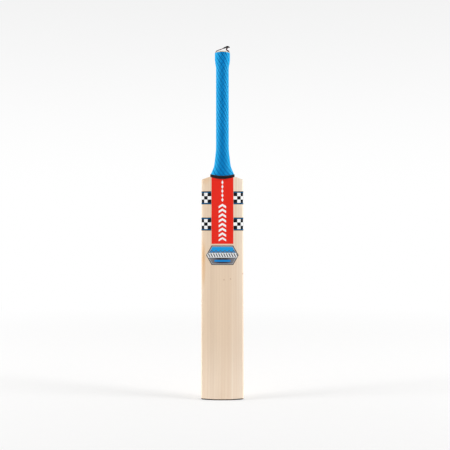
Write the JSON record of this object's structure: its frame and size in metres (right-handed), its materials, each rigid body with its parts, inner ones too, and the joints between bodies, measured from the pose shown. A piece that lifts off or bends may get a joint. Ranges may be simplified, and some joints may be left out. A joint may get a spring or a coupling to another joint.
{
  "type": "cricket bat",
  "caption": "Full-size long-handle cricket bat: willow blade with a V-spliced cane handle, ribbed rubber grip, thread binding, film labels and a hanging loop.",
  "frame": {"origin": "middle of the toe's flat end, on the handle's axis", "axes": "+Z from the toe up the handle, -Y out of the playing face, X across the blade"},
  "size_m": [0.1068, 0.0641, 0.8875],
  "materials": {
    "willow": "smooth bleached willow, waxed",
    "cane": "planed cane, matt",
    "cork": "fine cork sheet",
    "strip_rubber": "matt rubber sheet",
    "toe_rubber": "dark brown matt rubber",
    "grip_rubber": "blue ribbed rubber, slight sheen",
    "twine": "waxed thread, closely wound",
    "black_thread": "waxed black thread",
    "maroon_thread": "waxed maroon thread",
    "red_label": "printed film, satin",
    "check_film": "printed film, satin",
    "badge_film": "printed film, satin"
  },
  "bodies": {
    "bat": {"blade": "willow", "toe_guard": "toe_rubber", "cane_slip_front_left": "cane", "cane_slip_front_middle": "cane", "cane_slip_front_right": "cane", "cane_slip_inner_front_left": "cane", "cane_slip_inner_front_middle": "cane", "cane_slip_inner_front_right": "cane", "cane_slip_inner_back_left": "cane", "cane_slip_inner_back_middle": "cane", "cane_slip_inner_back_right": "cane", "cane_slip_back_left": "cane", "cane_slip_back_middle": "cane", "cane_slip_back_right": "cane", "rubber_strip_front": "strip_rubber", "cork_strip_middle": "cork", "rubber_strip_back": "strip_rubber", "twine_sleeve": "twine", "grip": "grip_rubber", "binding_black": "black_thread", "binding_maroon": "maroon_thread", "loop_tails": "maroon_thread", "face_label": "red_label", "check_label_upper_left": "check_film", "check_label_upper_right": "check_film", "check_label_lower_left": "check_film", "check_label_lower_right": "check_film", "badge": "badge_film", "back_label": "red_label"},
    "hanging_loop": {"hanging_loop": "maroon_thread"}
  },
  "joints": [
    {"name": "loop_fold", "type": "hinge", "parent": "bat", "child": "hanging_loop", "pos_m": [0, 0, 0.8738], "axis": [1, 0, 0], "range_deg": [-65, 65]}
  ]
}
